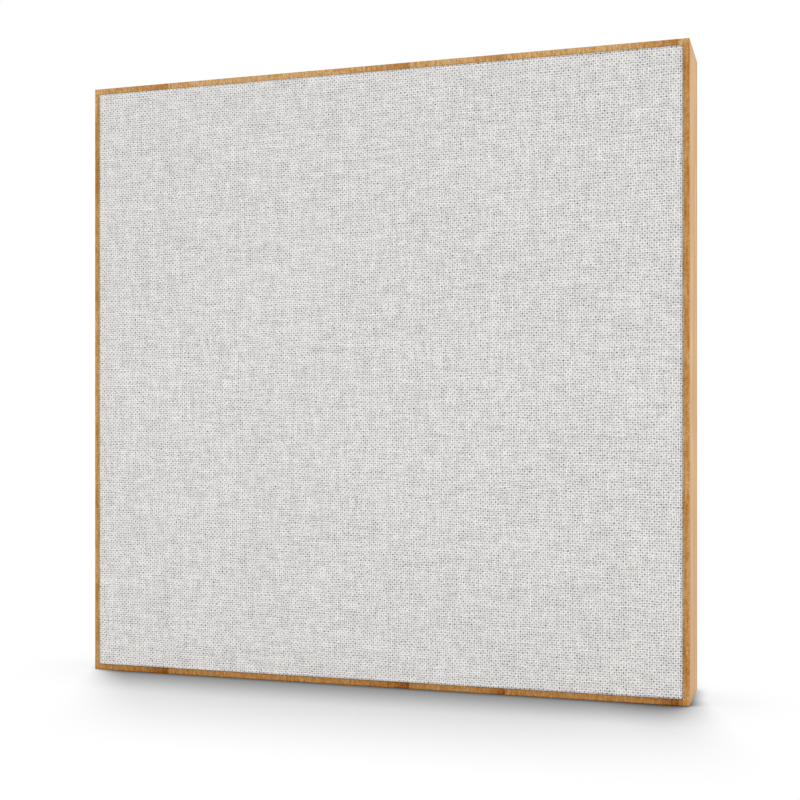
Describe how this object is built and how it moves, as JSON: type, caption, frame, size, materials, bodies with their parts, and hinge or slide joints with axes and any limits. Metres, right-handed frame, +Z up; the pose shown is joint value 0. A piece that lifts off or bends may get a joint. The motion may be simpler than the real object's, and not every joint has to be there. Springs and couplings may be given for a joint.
{
  "type": "framed acoustic pad",
  "caption": "Square acoustic absorber pad with a pale grey woven cloth face in a thin mitred wooden case, standing on its bottom rail.",
  "frame": {"origin": "centre of the rectangle that the case stands on, on its bottom face", "axes": "+Z up, +X to the right as seen from the front, +Y from the cloth face to the back panel"},
  "size_m": [0.6, 0.0864, 0.6],
  "materials": {
    "case_wood": "satin",
    "back_hardboard": "matte",
    "absorber_wool": "matte",
    "woven_cloth": "matte",
    "pin_steel": "satin"
  },
  "bodies": {
    "root": {"top_rail": "case_wood", "bottom_rail": "case_wood", "left_stile": "case_wood", "right_stile": "case_wood", "back_panel": "back_hardboard", "absorber_core": "absorber_wool", "fabric_cover": "woven_cloth"}
  },
  "joints": []
}
